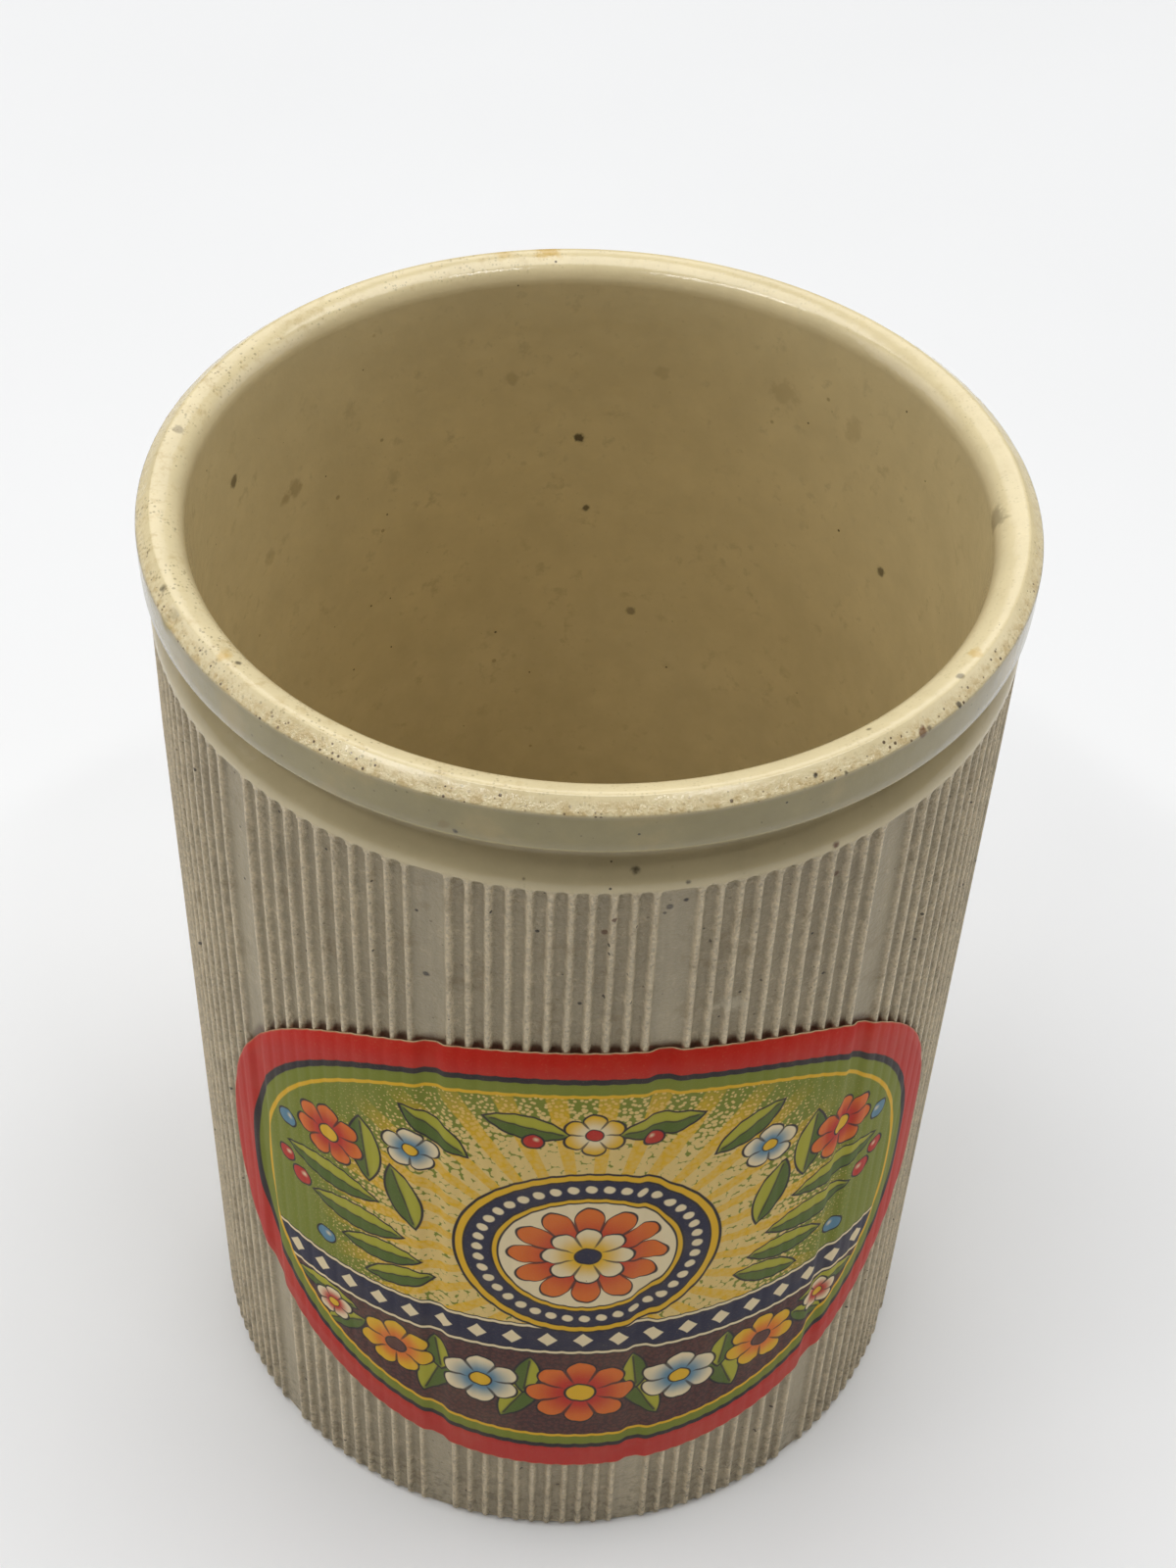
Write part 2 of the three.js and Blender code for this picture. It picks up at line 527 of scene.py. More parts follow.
GLAZE_MARKS = {
    IRON: (
        Mark(178.6, 40.3, 103.3, 0.55, 0.85), Mark(176.8, 40.3, 92.8, 0.45, 0.75),
        Mark(167.9, 40.2, 77.1, 0.5, 0.5), Mark(119.4, 40.3, 99.5, 0.6, 0.7),
        Mark(49.0, 43.7, 127.0, 0.35, 0.6), Mark(46.0, 45.4, 126.0, 0.3, 0.8),
        Mark(23.9, 44.9, 126.4, 0.24, 0.9), Mark(27.6, 45.4, 125.8, 0.22, 0.85),
        Mark(-17.6, 45.4, 122.0, 0.28, 0.9), Mark(-9.8, 44.7, 116.5, 0.22, 0.85),
        Mark(9.2, 44.7, 116.2, 0.26, 0.85), Mark(31.2, 44.5, 104.7, 0.36, 0.95),
        Mark(-22.0, 44.5, 100.3, 0.36, 0.85), Mark(13.1, 44.5, 107.1, 0.34, 0.95),
        Mark(9.4, 44.5, 113.4, 0.24, 0.95), Mark(7.5, 44.5, 112.7, 0.28, 0.7),
        Mark(6.9, 44.5, 111.9, 0.16, 0.7), Mark(-52.0, 42.6, 126.8, 0.3, 0.75),
        Mark(-69.5, 44.3, 126.9, 0.5, 0.7), Mark(36.6, 41.4, 125.7, 0.35, 0.6),
        Mark(3.1, 44.0, 117.6, 0.42, 0.8),
    ),
    OXIDE: (
        Mark(39.6, 45.2, 126.4, 0.3, 0.8), Mark(39.2, 45.4, 125.9, 0.42, 0.8),
        Mark(28.2, 44.7, 115.9, 0.4, 0.95), Mark(29.4, 44.5, 111.2, 0.3, 0.8),
        Mark(-0.1, 44.5, 109.7, 0.28, 0.8), Mark(0.9, 45.0, 111.9, 0.22, 0.85),
    ),
    UMBER: (
        Mark(-128.5, 40.4, 107.3, 1.1, 0.4), Mark(-126.2, 40.4, 106.9, 0.8, 0.4),
        Mark(-120.5, 40.4, 101.0, 0.9, 0.2), Mark(143.8, 40.4, 115.5, 1.6, 0.2),
        Mark(129.8, 40.4, 114.9, 1.3, 0.2), Mark(-170.0, 40.4, 112.0, 0.8, 0.25),
        Mark(165.0, 40.4, 113.5, 0.7, 0.2), Mark(-95.0, 40.2, 92.0, 1.2, 0.25),
        Mark(-19.0, 45.5, 122.6, 0.5, 0.4),
    ),
    RUST: (
        Mark(-176.0, 43.9, 127.0, 1.5, 0.6), Mark(-169.5, 43.4, 127.0, 0.8, 0.35),
        Mark(54.0, 43.2, 127.0, 0.7, 0.45), Mark(-54.0, 43.2, 127.0, 0.8, 0.5),
    ),
    CHALK: (Mark(15.6, 45.0, 97.6, 0.9, 0.55), Mark(17.4, 45.0, 96.9, 0.8, 0.55)),
    GRIME: (
        Mark(-112.5, 40.4, 115.6, 0.6, 0.8), Mark(40.4, 45.4, 126.0, 0.3, 0.8),
        Mark(33.6, 42.6, 126.7, 0.26, 0.7), Mark(33.7, 44.5, 96.9, 0.5, 0.7),
        Mark(-103.0, 43.0, 126.7, 0.5, 0.5), Mark(85.8, 41.0, 125.0, 1.3, 0.5),
    ),
}


@dataclass(frozen=True)
class StonewareGlaze:
    """Glaze that is thick and cream above and inside, and thin and grey over the ribs.

    Attributes:
        cut: Oval of the label, whose paste has run into the grooves above it, with a painted shadow in the
            gap under the paper.
        cream: Colour of the thick glaze.
        pale: The same on the crown of the lip, painted lighter as light from above.
        face: The same on the face of the lip, painted darker and yellower as shade.
        inner: The same inside.
        ridge: Colour of the thin glaze on the ridges.
        groove: Colour where it lies in the grooves.
        flat: Colour of the smooth flats.
        dirt: Colour of the brown film on the worn edge of the lip.
        stain: Colour of the stains on the crown.
        soot: Colour of the dirt specks in that film.
        paste_and_shadow: Colour of the dried paste and of the painted shadow under the paper's edge.
    """

    cut: LabelCut
    cream: Colour = (0.65, 0.54, 0.315)
    pale: Colour = (0.745, 0.637, 0.385)
    face: Colour = (0.63, 0.52, 0.225)
    inner: Colour = (0.63, 0.515, 0.27)
    ridge: Colour = (0.71, 0.588, 0.388)
    groove: Colour = (0.435, 0.36, 0.232)
    flat: Colour = (0.47, 0.392, 0.25)
    dirt: Colour = (0.5, 0.355, 0.15)
    stain: Colour = (0.46, 0.32, 0.12)
    soot: Colour = (0.1, 0.06, 0.028)
    paste_and_shadow: Colour = (0.15, 0.09, 0.05)

    def paste(self, sheet: NodeSheet, place: Signal) -> Signal:
        """Mask of the brown paste and the painted shadow in the grooves along the label's upper edge.

        Args:
            sheet: Material that is built.
            place: Position in millimetres.

        Returns:
            1 where the paste and painted shadow show.
        """
        hollow = sheet.trait(Trait.HOLLOW)
        across, back, height = sheet.parts(place)
        turn = sheet.math("ARCTAN2", across, back * -1.0)
        up = height - self.cut.centre_height / MM
        flat = sheet.joined(turn * (self.cut.radius / MM), up, 0.0)
        outside = self.cut.inset(sheet, flat) * -1.0
        front = (back * -1.0).rise(0.0, 8.0)
        reach = hollow * 1.15
        shown = 1.0 - outside.rise(reach - 0.95, reach + 0.1)
        return shown * up.rise(12.0, 22.0) * front * hollow.rise(0.05, 0.35)

    def material(self, pot: "StonewarePot") -> bpy.types.Material:
        """Builds the glaze.

        Args:
            pot: Pot that it covers.

        Returns:
            The material.
        """
        sheet = NodeSheet("stoneware_glaze")
        place = sheet.place()
        across, back, height = sheet.parts(place)
        out = sheet.vector("LENGTH", sheet.vector("MULTIPLY", place, (1.0, 1.0, 0.0)))
        relief, thick, arris, flat = (
            sheet.trait(trait) for trait in (Trait.RELIEF, Trait.CREAM, Trait.ARRIS, Trait.FLAT))
        outer = 1.0 - thick

        # Where the parts of the smooth glaze lie
        lip, mouth = pot.lip_radius / MM, pot.mouth_radius / MM
        summit, lip_edge = pot.top / MM, pot.lip_edge / MM
        within = out.below(mouth + 0.4, 0.7) * height.below(summit - 2.5, 1.5)
        # Outer face of the lip, which is painted darker as shade
        face = out.rise(lip - 0.8, lip - 0.4) * height.rise(lip_edge - 0.25, lip_edge + 0.35)
        face = face * height.below(summit - 1.25, 0.2)
        # Crown of the lip, which is painted lighter as light from above
        top = height.rise(summit - 1.8, summit - 0.9)
        # Painted shade: the inside grows darker towards its floor
        deep_shade = within * (1.0 - height.rise(25.0, summit - 7.0))
        # Painted highlight: a pale line along the lip's lower edge
        edge = height.near(lip_edge + 0.17, 0.16, 0.14) * out.rise(lip - 0.6, lip - 0.2)
        # Painted shade in the tie groove under the lip
        collar = height.near(lip_edge - 2.65, 2.4, 0.8) * out.rise(lip - 3.0, lip - 2.5)
        front = (back * -1.0).rise(-12.0, 26.0)
        left = (across * -1.0).rise(-20.0, 44.0)

        # Thin glaze over the ribs
        cloud = sheet.noise(place, 16.0, 4.0, 0.55)
        fine = sheet.noise(place, 1.6, 3.0, 0.6)
        grain = sheet.noise(place, 0.42, 3.0, 0.65)
        streak = sheet.noise(sheet.vector("MULTIPLY", place, (1.0, 1.0, 0.1)), 1.3, 3.0, 0.6)
        ragged = relief + (grain - 0.5) * 1.9 + (fine - 0.5) * 1.8
        sheet.colour = sheet.mix(ragged.rise(0.15, 0.95), self.ridge, self.groove)
        sheet.lay(flat * 0.5, self.flat)
        uneven = (grain - 0.5) * (1.4 - relief * 0.9 - flat * 0.3) + (streak - 0.5) * 0.4
        ribs = sheet.tinted(sheet.colour, 0.84 + cloud * 0.28 + uneven)

        # Thick glaze of the lip, the tie groove and the inside, with painted light and shade
        blotch = sheet.noise(place, 6.5, 5.0, 0.6)
        shade = 0.93 + cloud * 0.14 + (blotch - 0.5) * (0.22 + within * 0.08) + fine * 0.06
        # Painted shade deep inside, on the lip's face and in the tie groove, and a painted highlight along
        # the lip's lower edge
        shade = shade + within * 0.1 - deep_shade * 0.24 - face * 0.46 + edge * 0.16 - collar * 0.24
        sheet.colour = self.cream
        # The face takes a painted shade tint, the crown a painted light tint, and the inside its own tint
        for mask, tint in ((face * 0.85, self.face), (within * 0.6, self.inner), (top * 0.75, self.pale)):
            sheet.lay(mask, tint)
        sheet.colour = sheet.mix(thick, ribs, sheet.tinted(sheet.colour, shade))

        # Iron specks and the dirt of use
        patch = sheet.noise(place, 4.0, 3.0, 0.6).rise(0.42, 0.58)
        soiled = sheet.noise(place, 3.4, 4.0, 0.62).rise(0.54, 0.7)
        smear = sheet.noise(place, 2.2, 4.0, 0.62).rise(0.54, 0.7) * blotch.rise(0.42, 0.6)
        grimy = sheet.noise(place, 1.1, 4.0, 0.65).rise(0.46, 0.66)
        stain = sheet.noise(place, 1.7, 5.0, 0.7).rise(0.5, 0.7)
        film = sheet.noise(place, 0.9, 4.0, 0.7).rise(0.4, 0.66) * (0.06 + front * 0.94)
        dirt = sheet.specks(place, 0.55, 0.85, 0.4) * arris.rise(0.1, 0.5) * (0.3 + patch * 0.7)
        peppered = sheet.specks(place, 2.2, 0.3 + outer * 0.35, 0.1 + outer * 0.05)
        foot = outer * (1.0 - height.rise(2.0, 17.0))
        soiling = (
            (peppered * 0.85, IRON),
            (sheet.specks(place, 0.95, 0.42, 0.2) * (0.1 + outer * 0.45 + face * 0.4), GRIME),
            (face * blotch.rise(0.5, 0.66) * 0.3, self.dirt),
            (outer * soiled * 0.3, UMBER),
            (foot * grimy * 0.55, GRIME),
            (within * smear * 0.2, GRIME),
            (within * sheet.specks(place, 4.6, 0.6, 0.09) * 0.5, UMBER),
            (sheet.specks(place, 0.36, 0.8, 0.6) * top * patch * (0.12 + left * 0.36), GRIME),
            (stain * top * (0.12 + left * 0.3), self.stain),
            (arris * film * 0.75, self.dirt),
            (dirt * (0.15 + front * 0.8), self.soot),
        )
        for mask, tint in soiling:
            sheet.lay(mask, tint)
        for tint, marks in GLAZE_MARKS.items():
            for mark in marks:
                distance = sheet.vector("DISTANCE", place, mark.place) + (fine - 0.5) * (mark.radius * 2.6)
                sheet.lay(distance.below(mark.radius, mark.radius * 0.45) * mark.strength, tint)
        # Dried paste with a painted shadow, dark brown in the grooves just above the label
        sheet.lay(self.paste(sheet, place) * (0.65 + fine * 0.3), self.paste_and_shadow)

        # Gloss and fine relief
        rough = 0.48 - thick * 0.36 - flat * 0.07 + arris * film * 0.08 + (fine - 0.5) * 0.06
        orange_peel = sheet.bump(sheet.noise(place, 2.4, 2.0, 0.5), 0.06 * MM)
        gritty = sheet.bump(grain * (1.0 - thick * 0.95) * (1.0 - flat * 0.4), 0.34 * MM, orange_peel)
        normal = sheet.bump(sheet.noise(place, 0.45, 3.0, 0.65) * arris, 0.14 * MM, gritty)
        return sheet.surface(Roughness=rough, Normal=normal, IOR=1.52)


@dataclass(frozen=True)
class BareClay:
    """Unglazed clay of the foot ring, and its colour where it is rubbed and dirty."""

    clay: Colour = (0.52, 0.45, 0.33)
    worn: Colour = (0.3, 0.245, 0.17)

    def material(self) -> bpy.types.Material:
        """Builds the clay.

        Returns:
            The material.
        """
        sheet = NodeSheet("bare_clay")
        place = sheet.place()
        sheet.colour = sheet.mix(sheet.noise(place, 7.0, 5.0, 0.65).rise(0.42, 0.64), self.clay, self.worn)
        sheet.lay(sheet.specks(place, 2.0, 0.4, 0.14) * 0.8, IRON)
        normal = sheet.bump(sheet.noise(place, 0.5, 4.0, 0.7), 0.2 * MM)
        return sheet.surface(Roughness=0.85, Normal=normal)


@dataclass
class StonewarePot:
    """The fired pot: foot ring, ribbed wall, tie groove, lip and plain inside.

    Attributes:
        ribs: Pattern of the ribs.
        glaze: Finish of nearly all of it.
        clay: Finish of the foot ring.
        base_round: Rounding of the base's edge.
        foot_width: Width of the ring that it stands on.
        recess: Depth of the recess under the base.
        floor_height: Height of the floor inside.
        floor_fillet: Rounding between floor and wall inside.
        floor_wall: Thickness of the wall above that rounding.
        lip_radius: Radius of the lip.
        lip_height: Height of the lip.
        edge_drop: How far its worn outer edge lies below the top.
        shoulder: Width of the slope from that edge up to the top.
        crown_drop: Height from the top down to the plain inside.
        crown_width: Width of the crown, from the top to the bevel into the mouth.
        crown_fall: How far the crown falls towards that bevel.
        mouth_bevel: Size of the bevel into the mouth.
        mouth_radius: Radius of the mouth.
        tie_height: Height of the tie groove.
        tie_depth: Depth of the tie groove.
        collar: Plain band between the tie groove and the ribs.
        out_of_round: How far the rim strays from a true circle.
        worn_rows: Numbers of the points of the lip's section that are worn.
        chip: Angle and half width in degrees of a chip in the lip's edge.
        nick: The same of a smaller one.
        top: Height of the pot.
    """

    ribs: RibPattern
    glaze: StonewareGlaze
    clay: BareClay
    base_round: float = 1.2 * MM
    foot_width: float = 11.0 * MM
    recess: float = 1.2 * MM
    floor_height: float = 8.0 * MM
    floor_fillet: float = 9.0 * MM
    floor_wall: float = 5.3 * MM
    lip_radius: float = 45.5 * MM
    lip_height: float = 5.75 * MM
    edge_drop: float = 1.15 * MM
    shoulder: float = 1.5 * MM
    crown_drop: float = 3.5 * MM
    crown_width: float = 2.15 * MM
    crown_fall: float = 0.66 * MM
    mouth_bevel: float = 1.0 * MM
    mouth_radius: float = 40.5 * MM
    tie_height: float = 4.85 * MM
    tie_depth: float = 1.8 * MM
    collar: float = 0.95 * MM
    out_of_round: float = 0.12 * MM
    worn_rows: range = range(6, 13)
    chip: Point = (-64.3, 0.95)
    nick: Point = (-20.5, 0.6)
    top: float = field(init=False)

    def __post_init__(self) -> None:
        """Takes the pot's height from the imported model."""
        self.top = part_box("stoneware_pot")[1][2]

    @property
    def lip_edge(self) -> float:
        """Height of the lip's lower edge."""
        return self.top - self.lip_height

    @property
    def rib_top(self) -> float:
        """Height of the upper ends of the grooves between the ribs."""
        return self.lip_edge - self.tie_height - self.collar

    def under(self) -> list[Point]:
        """Section of the underside, from the axis out to the foot's outer edge.

        Returns:
            Points as radius and height.
        """
        foot = self.ribs.radius - self.base_round
        inner = foot - self.foot_width
        step = self.recess
        points = [(0.0, step), (inner * 0.55, step)]
        for past, height in ((-1.7, 1.0), (-0.7, 0.85), (-0.25, 0.35), (0.2, 0.04), (1.0, 0.0)):
            points.append((inner + past * step, height * step))
        return points + [(foot - 0.8 * MM, 0.0)]

    def outside(self) -> list[Point]:
        """Section of the ribbed wall and collar, from the foot up to the tie groove.

        Returns:
            Points as radius and height.
        """
        wall = self.ribs.radius
        edge = self.base_round
        points = arc((wall - edge, edge), edge, edge, 275, 360, 5)
        span = self.rib_top - edge
        for share in (0.02, 0.07, 0.16, 0.27, 0.38, 0.49, 0.6, 0.71, 0.81, 0.89, 0.95):
            points.append((wall, edge + span * share))
        for below in (2.1, 1.2, 0.75, 0.5, 0.3, 0.15, 0.03, -0.1, -0.3):
            points.append((wall, self.rib_top - below * MM))
        return points

    def tie_groove(self) -> list[Point]:
        """Section of the groove under the lip: a sweep in from the rib tops, then a round undercut.

        Returns:
            Points as radius and height.
        """
        wall = self.ribs.radius
        start = self.rib_top + 0.3 * MM
        undercut = self.tie_height * 0.36
        deepest = self.lip_edge - undercut
        points = []
        for share in (0.1, 0.22, 0.35, 0.48, 0.61, 0.74, 0.87):
            depth = self.tie_depth * smoothstep(0.0, 1.0, share)
            points.append((wall - depth, start + (deepest - start) * share))
        return points + arc((wall, deepest), self.tie_depth, undercut, 180, 97, 5)

    def lip(self) -> list[Point]:
        """Section of the lip, from its lower edge over the crown into the mouth.

        Returns:
            Points as radius and height.
        """
        out = self.lip_radius
        worn_edge = self.top - self.edge_drop
        crown = out - self.shoulder
        bend = crown - self.crown_width
        low = self.top - self.crown_fall
        points = []
        for inward, upward in ((0.4, -0.02), (0.15, 0.04), (0.05, 0.25), (0.0, 1.5), (0.0, 3.3)):
            points.append((out - inward * MM, self.lip_edge + upward * MM))
        for inward, below in ((0.0, 0.3), (0.012, 0.12), (0.045, 0.01)):
            points.append((out - inward * MM, worn_edge - below * MM))
        for share in (0.06, 0.2, 0.4, 0.6, 0.78, 0.9, 0.96, 1.0):
            points.append((out - self.shoulder * share, self.top - self.edge_drop * (1.0 - share) ** 1.1))
        for share in (0.25, 0.5, 0.75, 0.92):
            points.append((crown - self.crown_width * share, self.top - self.crown_fall * share ** 2.1))
        bevel = (
            (0.0, 0.0), (0.2, 0.17), (0.42, 0.385), (0.7, 0.76), (0.92, 1.14), (1.05, 1.47), (1.12, 2.0),
        )
        for inward, down in bevel:
            points.append((bend - inward * self.mouth_bevel, low - down * self.mouth_bevel))
        return points

    def inside(self) -> list[Point]:
        """Section of the inside, from the mouth down to the middle of the floor.

        Returns:
            Points as radius and height.
        """
        wall = self.ribs.radius - self.floor_wall
        low = self.floor_height + self.floor_fillet
        high = self.top - self.crown_drop
        points = []
        for share in (0.04, 0.1, 0.18, 0.27, 0.37, 0.48, 0.59, 0.7, 0.81, 0.92):
            radius = self.mouth_radius + (wall - self.mouth_radius) * share
            points.append((radius, high + (low - high) * share))
        points += arc((wall - self.floor_fillet, low), self.floor_fillet, self.floor_fillet, 360, 270, 7)
        return points + [(wall * share, self.floor_height) for share in (0.5, 0.25, 0.0)]

    def sunk(self, angle: float, height: float) -> float:
        """Share of the ribs' depth at a place on the wall.

        Args:
            angle: Angle round the pot.
            height: Height above the foot.

        Returns:
            0 on a ridge and above the ribs, 1 on the bottom of a groove.
        """
        offset, half = self.ribs.hollow(angle)
        corner = self.ribs.groove_width / 2
        past = max(0.0, abs(offset) - half + corner)
        end = self.rib_top - corner + math.sqrt(max(0.0, corner ** 2 - past ** 2))
        closed = smoothstep(-0.12 * MM, 0.22 * MM, end - height)
        return self.ribs.sunk(angle) * closed * smoothstep(-0.1 * MM, 0.9 * MM, height)

    def strayed(self, angle: float, radius: float, height: float, worn: float) -> Point:
        """Moves a point of the section for the hand-made rim and its wear.

        Args:
            angle: Angle round the pot.
            radius: Radius of the point on a true pot.
            height: Height of the point on a true pot.
            worn: 1 on the worn edge of the lip.

        Returns:
            The radius and height of the point.
        """
        share = smoothstep(self.top - 26 * MM, self.rib_top, height)
        radius += self.out_of_round * share * (math.sin(2 * angle + 0.7) + 0.5 * math.sin(3 * angle + 2.1))
        height -= 0.6 * self.out_of_round * share * (1.0 - math.cos(angle))
        if worn == 0.0:
            return radius, height
        spot = Vector((math.sin(angle), math.cos(angle), 0.0))
        loss = 0.11 * (0.5 + 0.5 * noise.noise(spot * 22.0) + 0.35 * noise.noise(spot * 70.0))
        for depth, (middle, half) in ((0.5, self.chip), (0.22, self.nick)):
            past = (math.degrees(angle) - middle + 180) % 360 - 180
            loss += depth * math.exp(-(past / half) ** 2)
        loss *= worn * MM * 0.75
        return radius - loss, height - loss

    def shape(self, mesh: bmesh.types.BMesh, section: list[Point], outer: range, rim: range) -> None:
        """Cuts the ribs into the turned pot and wears its rim.

        Args:
            mesh: Pot as it was turned, with the number of each section point on its points.
            section: Points of the section.
            outer: Numbers of the section points on the ribbed wall.
            rim: Numbers of the section points on the lip's worn edge.
        """
        numbers = mesh.verts.layers.int["section"]
        layers = {trait: mesh.verts.layers.float[trait.value] for trait in POT_TRAITS}
        columns = self.ribs.columns()
        for vert in mesh.verts:
            number = vert[numbers]
            radius, height = section[number]
            turn = math.atan2(vert.co.y, vert.co.x) / math.tau
            angle = columns[round(turn * len(columns)) % len(columns)]
            worn = math.sin(math.pi * (number - rim.start + 0.5) / len(rim)) if number in rim else 0.0
            sunk = self.sunk(angle, height) if number in outer else 0.0
            edge = self.rib_top - (0.1 + 0.5 * sunk) * MM
            cream = smoothstep(edge - 0.4 * MM, edge + 0.5 * MM, height) if number < outer.stop else 1.0
            vert[layers[Trait.RELIEF]] = sunk
            vert[layers[Trait.HOLLOW]] = self.ribs.middle(angle) if number in outer else 0.0
            vert[layers[Trait.FLAT]] = sunk if self.ribs.on_flat(angle) else 0.0
            vert[layers[Trait.CREAM]] = cream
            vert[layers[Trait.ARRIS]] = worn
            radius, height = self.strayed(angle, radius, height, worn)
            radius = max(0.0, radius - sunk * self.ribs.depth)
            vert.co = (radius * math.sin(angle), -radius * math.cos(angle), height)

    def turned(self, section: list[Point]) -> bmesh.types.BMesh:
        """Turns the section into a plain pot.

        Args:
            section: Points as radius and height.

        Returns:
            The pot, with the number of each section point on its points.
        """
        mesh = bmesh.new()
        numbers = mesh.verts.layers.int.new("section")
        for trait in POT_TRAITS:
            mesh.verts.layers.float.new(trait.value)
        points = []
        for number, (radius, height) in enumerate(section):
            point = mesh.verts.new((radius, 0.0, height))
            point[numbers] = number
            points.append(point)
        edges = [mesh.edges.new(pair) for pair in zip(points, points[1:])]
        turn = math.tau / self.ribs.panels
        steps = len(self.ribs.columns()) // self.ribs.panels
        bmesh.ops.spin(mesh, geom=points + edges, cent=(0, 0, 0), axis=(0, 0, 1), angle=turn, steps=steps)
        panel = mesh.verts[:] + mesh.edges[:] + mesh.faces[:]
        bmesh.ops.spin(mesh, geom=panel, cent=(0, 0, 0), axis=(0, 0, 1), angle=math.tau - turn,
                       steps=self.ribs.panels - 1, use_duplicate=True)
        bmesh.ops.remove_doubles(mesh, verts=mesh.verts, dist=MERGE_DISTANCE)
        bmesh.ops.recalc_face_normals(mesh, faces=mesh.faces)
        return mesh

    def build(self) -> bpy.types.Object:
        """Turns, ribs and glazes the pot.

        Returns:
            The pot's object.
        """
        lead = self.under()
        wall = self.outside()
        tie = self.tie_groove()
        section = lead + wall + tie + self.lip() + self.inside()
        outer = range(len(lead), len(lead) + len(wall))
        lip_start = outer.stop + len(tie)
        rim = range(lip_start + self.worn_rows.start, lip_start + self.worn_rows.stop)
        mesh = self.turned(section)
        self.shape(mesh, section, outer, rim)
        mesh.verts.layers.int.remove(mesh.verts.layers.int["section"])
        for face in mesh.faces:
            face.smooth = True
            face.material_index = 1 if face.calc_center_median().z < 0.06 * MM else 0
        pot = piece("stoneware_pot_glazed", mesh, [self.glaze.material(self), self.clay.material()])
        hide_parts("stoneware_pot")
        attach(pot, "root")
        return pot


@dataclass(frozen=True)
class Disc:
    """Round printed spot with a dark outline, in millimetres on the flat label."""

    centre: Point
    radius: float
    fill: Palette

    def print_on(self, sheet: NodeSheet, place: Signal) -> None:
        """Prints the spot with a shine on it.

        Args:
            sheet: Material of the print.
            place: Position on the label.
        """
        out = sheet.vector("DISTANCE", place, (*self.centre, 0.0))
        sheet.lay(out.below(self.radius + 0.25, PRINT_EDGE), Palette.LINE)
        sheet.lay(out.below(self.radius, PRINT_EDGE), self.fill)
        shine = (self.centre[0] - self.radius * 0.3, self.centre[1] + self.radius * 0.35, 0.0)
        soft = self.radius * 0.25
        sheet.lay(sheet.vector("DISTANCE", place, shine).below(soft, soft) * 0.8, Palette.CREAM)


@dataclass(frozen=True)
class Leaf:
    """Pointed printed leaf with a midrib, from its stalk end to its tip."""

    base: Point
    tip: Point
    width: float

    def print_on(self, sheet: NodeSheet, place: Signal) -> None:
        """Prints the leaf as the part that two discs share.

        Args:
            sheet: Material of the print.
            place: Position on the label.
        """
        along = Vector(self.tip) - Vector(self.base)
        middle = Vector(self.base) + along / 2
        radius = ((along.length / 2) ** 2 + (self.width / 2) ** 2) / self.width
        aside = Vector((-along.y, along.x)).normalized() * (radius - self.width / 2)
        upper = sheet.vector("DISTANCE", place, (*(middle - aside), 0.0))
        lower = sheet.vector("DISTANCE", place, (*(middle + aside), 0.0))
        edge = upper.largest(lower)
        lit = sheet.mix((upper - lower).rise(-0.5, 0.9), Palette.LEAF, Palette.PALE_LEAF)
        rib = abs(upper - lower).below(0.24, 0.1) * edge.below(radius - 0.4, 0.1)
        sheet.lay(edge.below(radius + 0.16, PRINT_EDGE), Palette.LINE)
        sheet.lay(edge.below(radius - 0.12, PRINT_EDGE), lit)
        sheet.lay(rib * 0.8, Palette.LINE)


@dataclass(frozen=True)
class Flower:
    """Printed flower seen from the front.

    Attributes:
        centre: Place of its eye in millimetres.
        radius: Reach of its petals.
        petals: Number of petals.
        fill: Ink of the petals near the eye.
        light: Ink of their tips.
        eye: Ink of the eye.
        side: Whether the other half of the label has one too.
    """

    centre: Point
    radius: float
    petals: int
    fill: Palette
    light: Palette
    eye: Palette
    side: Side = Side.BOTH

    def print_on(self, sheet: NodeSheet, place: Signal) -> None:
        """Prints the flower.

        Args:
            sheet: Material of the print.
            place: Position on the label.
        """
        full = self.radius
        offset = sheet.vector("SUBTRACT", place, (*self.centre, 0.0))
        across, up, _ = sheet.parts(offset)
        out = sheet.vector("LENGTH", offset)
        lobe = abs(sheet.math("COSINE", sheet.math("ARCTAN2", across, up) * (self.petals / 2)))
        past = out - (lobe.power(0.55) * (full * 0.34) + full * 0.66)
        share = out / full
        tint = sheet.mix(share.rise(0.3, 0.95), self.fill, self.light)
        fold = lobe.below(0.2, 0.1) * share.rise(0.25, 0.5) * past.below(0.0, 0.1)
        sheet.lay(past.below(0.3, 0.08), Palette.LINE)
        sheet.lay(past.below(0.0, 0.08), tint)
        sheet.lay(fold * 0.85, Palette.LINE)
        sheet.lay(out.below(full * 0.31, PRINT_EDGE), Palette.LINE)
        sheet.lay(out.below(full * 0.26, PRINT_EDGE), self.eye)


LEAVES = (
    Leaf((17.0, -4.0), (25.5, -7.2), 3.4), Leaf((18.5, -1.5), (28.5, -2.6), 3.8),
    Leaf((20.5, 2.0), (32.5, 2.2), 4.2), Leaf((19.0, 4.5), (21.8, 14.5), 3.8),
    Leaf((23.5, 6.8), (36.0, 8.0), 4.0), Leaf((24.5, 10.0), (25.4, 20.6), 4.0),
    Leaf((13.0, 20.0), (20.5, 25.6), 3.6), Leaf((2.4, 25.6), (11.4, 27.6), 3.6),
    Leaf((5.0, -19.5), (9.2, -28.6), 3.8), Leaf((15.6, -18.4), (18.6, -27.4), 4.0),
    Leaf((16.4, -22.2), (17.2, -15.4), 3.0), Leaf((26.0, -18.0), (31.6, -22.0), 3.2),
    Leaf((6.6, -23.0), (5.8, -15.6), 3.0), Leaf((27.0, -16.6), (36.2, -15.8), 3.2),
)

